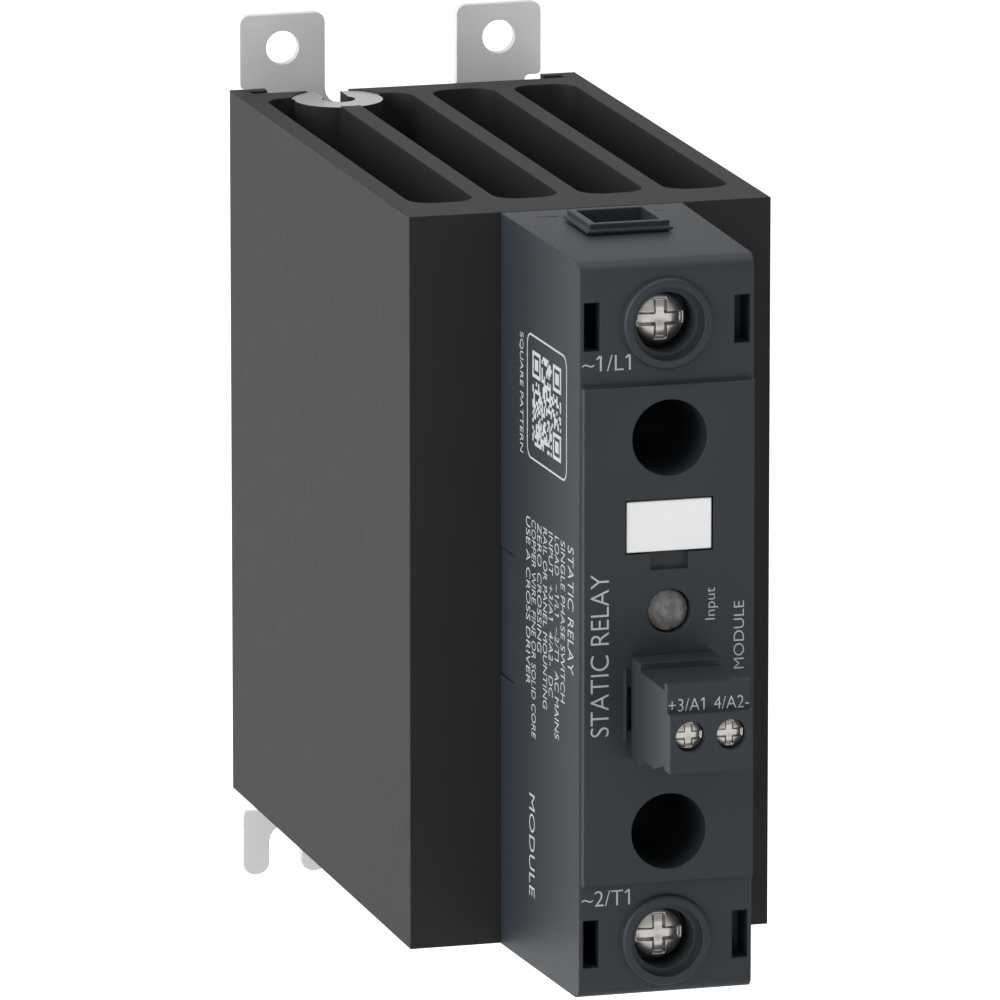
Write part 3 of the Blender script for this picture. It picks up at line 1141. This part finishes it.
def input_header():
    """The shrouded header behind the housing's opening, and its two pins."""
    inner = NOSE_HALF_WIDTH + GAP
    front = MID_DEPTH - BODY_WALL - GAP
    rear = BOARD_FRONT + GAP
    header = box("header", (PLUG_X - inner - HEADER_WALL, ahead(front), NOSE_BOTTOM - GAP - HEADER_WALL),
                 (PLUG_X + inner + HEADER_WALL, ahead(rear), NOSE_TOP + GAP + HEADER_WALL))
    cut(header, box("header_hollow", (PLUG_X - inner, ahead(front + OVERSHOOT), NOSE_BOTTOM - GAP),
                    (PLUG_X + inner, ahead(rear + HEADER_FLOOR), NOSE_TOP + GAP)))
    for word, side in (("positive", -1), ("negative", 1)):
        x = PLUG_X + side * POLE_PITCH / 2
        half = PIN_SIDE / 2
        wide = half + SLIM_GAP
        cut(header, box("pin_hole", (x - wide, ahead(rear + HEADER_FLOOR + OVERSHOOT), POLE_Z - wide),
                        (x + wide, ahead(rear - OVERSHOOT), POLE_Z + wide)))
        pin = box("pin", (x - half, ahead(PIN_TIP), POLE_Z - half),
                  (x + half, ahead(rear), POLE_Z + half))
        finish(pin, "header_pin_" + word, BRASS, 0.3, 1.0)
    finish(header, "input_header", BLACK_PLASTIC, 0.5)


def plug_outline():
    """The plug's side outline as (Y, Z): rear flange, body, label plate, screw face."""
    corners = [(0, PLUG_BOTTOM), (0, PLUG_TOP), (PLUG_FLANGE_DEPTH, PLUG_TOP),
               (PLUG_FLANGE_DEPTH, PLUG_BODY_TOP), (PLUG_LABEL_REAR, PLUG_BODY_TOP),
               (PLUG_LABEL_REAR, PLUG_TOP), (PLUG_LABEL_FRONT, PLUG_TOP),
               (PLUG_LABEL_FRONT, PLUG_LABEL_BOTTOM), (PLUG_FACE_FRONT, PLUG_LABEL_BOTTOM),
               (PLUG_FACE_FRONT, PLUG_FACE_BOTTOM), (PLUG_LABEL_REAR, PLUG_FACE_BOTTOM),
               (PLUG_LABEL_REAR, PLUG_RELIEF_TOP), (PLUG_RELIEF, PLUG_BODY_BOTTOM),
               (PLUG_FLANGE_DEPTH, PLUG_BODY_BOTTOM), (PLUG_FLANGE_DEPTH, PLUG_BOTTOM)]
    return [(plug_y(depth), z) for depth, z in corners]


def input_plug():
    """The pull-off screw connector: housing, and for each pole a cage, screw and contact."""
    plug = sheet("plug", [plug_outline()], PLUG_WIDTH, facing_side(PLUG_X))
    add(plug, box("plug_nose", (PLUG_X - NOSE_HALF_WIDTH, plug_y(GAP), NOSE_BOTTOM),
                  (PLUG_X + NOSE_HALF_WIDTH, plug_y(-NOSE_LENGTH), NOSE_TOP)))
    room = PLUG_CAGE_HALF_WIDTH + SLIM_GAP
    room_height = PLUG_CAGE_HALF_HEIGHT + GAP
    room_front = PLUG_CAGE_FRONT_INSIDE + PLUG_CAGE_NUT + PLUG_TRAVEL + GAP
    contact_top = POLE_Z + PLUG_CAGE_HALF_HEIGHT + GAP + CONTACT_SHEET
    for word, side in (("positive", -1), ("negative", 1)):
        x = PLUG_X + side * POLE_PITCH / 2
        leaf = PIN_SIDE / 2 + SLIM_GAP + CONTACT_SHEET
        cut(plug,
            box("cage_room", (x - room, plug_y(room_front), POLE_Z - room_height),
                (x + room, plug_y(PLUG_CAGE_REAR - GAP), contact_top + GAP)),
            rod("plug_screw_hole", PLUG_SCREW_HOLE, (x, plug_y(PLUG_FACE_FRONT + OVERSHOOT), POLE_Z),
                (x, plug_y(room_front - OVERSHOOT), POLE_Z), HEAD_ROUND),
            box("wire_hole", (x - WIRE_HOLE_HALF_WIDTH, plug_y(PLUG_TONGUE_REAR),
                              PLUG_BOTTOM - OVERSHOOT),
                (x + WIRE_HOLE_HALF_WIDTH, plug_y(PLUG_CAGE_REAR + PLUG_CAGE_REAR_WALL), POLE_Z)),
            box("contact_room", (x - CONTACT_TONGUE_HALF - GAP, plug_y(PLUG_CAGE_REAR),
                                 POLE_Z - leaf - GAP),
                (x + CONTACT_TONGUE_HALF + GAP, plug_y(-NOSE_LENGTH - OVERSHOOT),
                 POLE_Z + leaf + GAP)),
            box("contact_rise", (x - CONTACT_TONGUE_HALF - GAP, plug_y(PLUG_CAGE_REAR),
                                 POLE_Z - leaf - GAP),
                (x + CONTACT_TONGUE_HALF + GAP, plug_y(PLUG_CAGE_REAR - CONTACT_SHEET - 3 * GAP),
                 contact_top + GAP)))
        plug_pole(word, x)
    finish(plug, "plug_housing", PLUG_PLASTIC, 0.45, smooth=ROUND_EDGE)


def plug_pole(word, x):
    """The clamp cage, its screw and the contact of one pole."""
    half = PLUG_CAGE_HALF_WIDTH
    tall = PLUG_CAGE_HALF_HEIGHT
    front = PLUG_CAGE_FRONT_INSIDE + PLUG_CAGE_NUT
    cage = box("plug_cage", (x - half, plug_y(front), POLE_Z - tall),
               (x + half, plug_y(PLUG_CAGE_REAR), POLE_Z + tall))
    inner = half - PLUG_CAGE_WALL
    cut(cage,
        box("plug_cage_window", (x - inner, plug_y(PLUG_CAGE_FRONT_INSIDE), POLE_Z - tall - OVERSHOOT),
            (x + inner, plug_y(PLUG_CAGE_REAR + PLUG_CAGE_REAR_WALL), POLE_Z + tall + OVERSHOOT)),
        rod("plug_cage_thread", PLUG_SCREW_SHANK + SLIM_GAP,
            (x, plug_y(PLUG_CAGE_FRONT_INSIDE - OVERSHOOT), POLE_Z),
            (x, plug_y(front + OVERSHOOT), POLE_Z)))
    finish(cage, "plug_cage_" + word, ZINC, 0.35, 1.0)
    screw("plug_screw_" + word, x, POLE_Z, plug_y(PLUG_FACE_FRONT - PLUG_SCREW_RECESS),
          PLUG_SCREW_HEAD, PLUG_SCREW_HEAD_RADIUS, PLUG_SCREW_SHANK, plug_y(PLUG_SCREW_TIP),
          NICKEL, PLUG_SCREW_HEAD * SHALLOW_DOME, PLUG_RECESS)
    thin = CONTACT_SHEET
    wide = CONTACT_TONGUE_HALF
    low = POLE_Z - tall + GAP
    top = POLE_Z + tall + GAP
    contact = box("contact", (x - wide, plug_y(PLUG_TONGUE_REAR + thin), low),
                  (x + wide, plug_y(PLUG_TONGUE_REAR), top + thin))
    rise_front = PLUG_CAGE_REAR - GAP
    leaf_gap = PIN_SIDE / 2 + SLIM_GAP
    tip = -NOSE_LENGTH + GAP
    add(contact,
        box("contact_bridge", (x - wide, plug_y(PLUG_TONGUE_REAR + thin), top),
            (x + wide, plug_y(rise_front - thin), top + thin)),
        box("contact_rise_part", (x - wide, plug_y(rise_front), POLE_Z - leaf_gap - thin),
            (x + wide, plug_y(rise_front - thin), top + thin)),
        box("contact_leaf_high", (x - wide, plug_y(rise_front), POLE_Z + leaf_gap),
            (x + wide, plug_y(tip), POLE_Z + leaf_gap + thin)),
        box("contact_leaf_low", (x - wide, plug_y(rise_front), POLE_Z - leaf_gap - thin),
            (x + wide, plug_y(tip), POLE_Z - leaf_gap)))
    finish(contact, "plug_contact_" + word, TINNED_COPPER, 0.3, 1.0)


heat_sink()
mounting_bracket()
rail_latch()
latch_spring()
relay_housing()
base_frame()
power_stage()
load_terminals()
module_screws()
control_electronics()
marker_tag()
input_header()
input_plug()
bpy.context.view_layer.update()
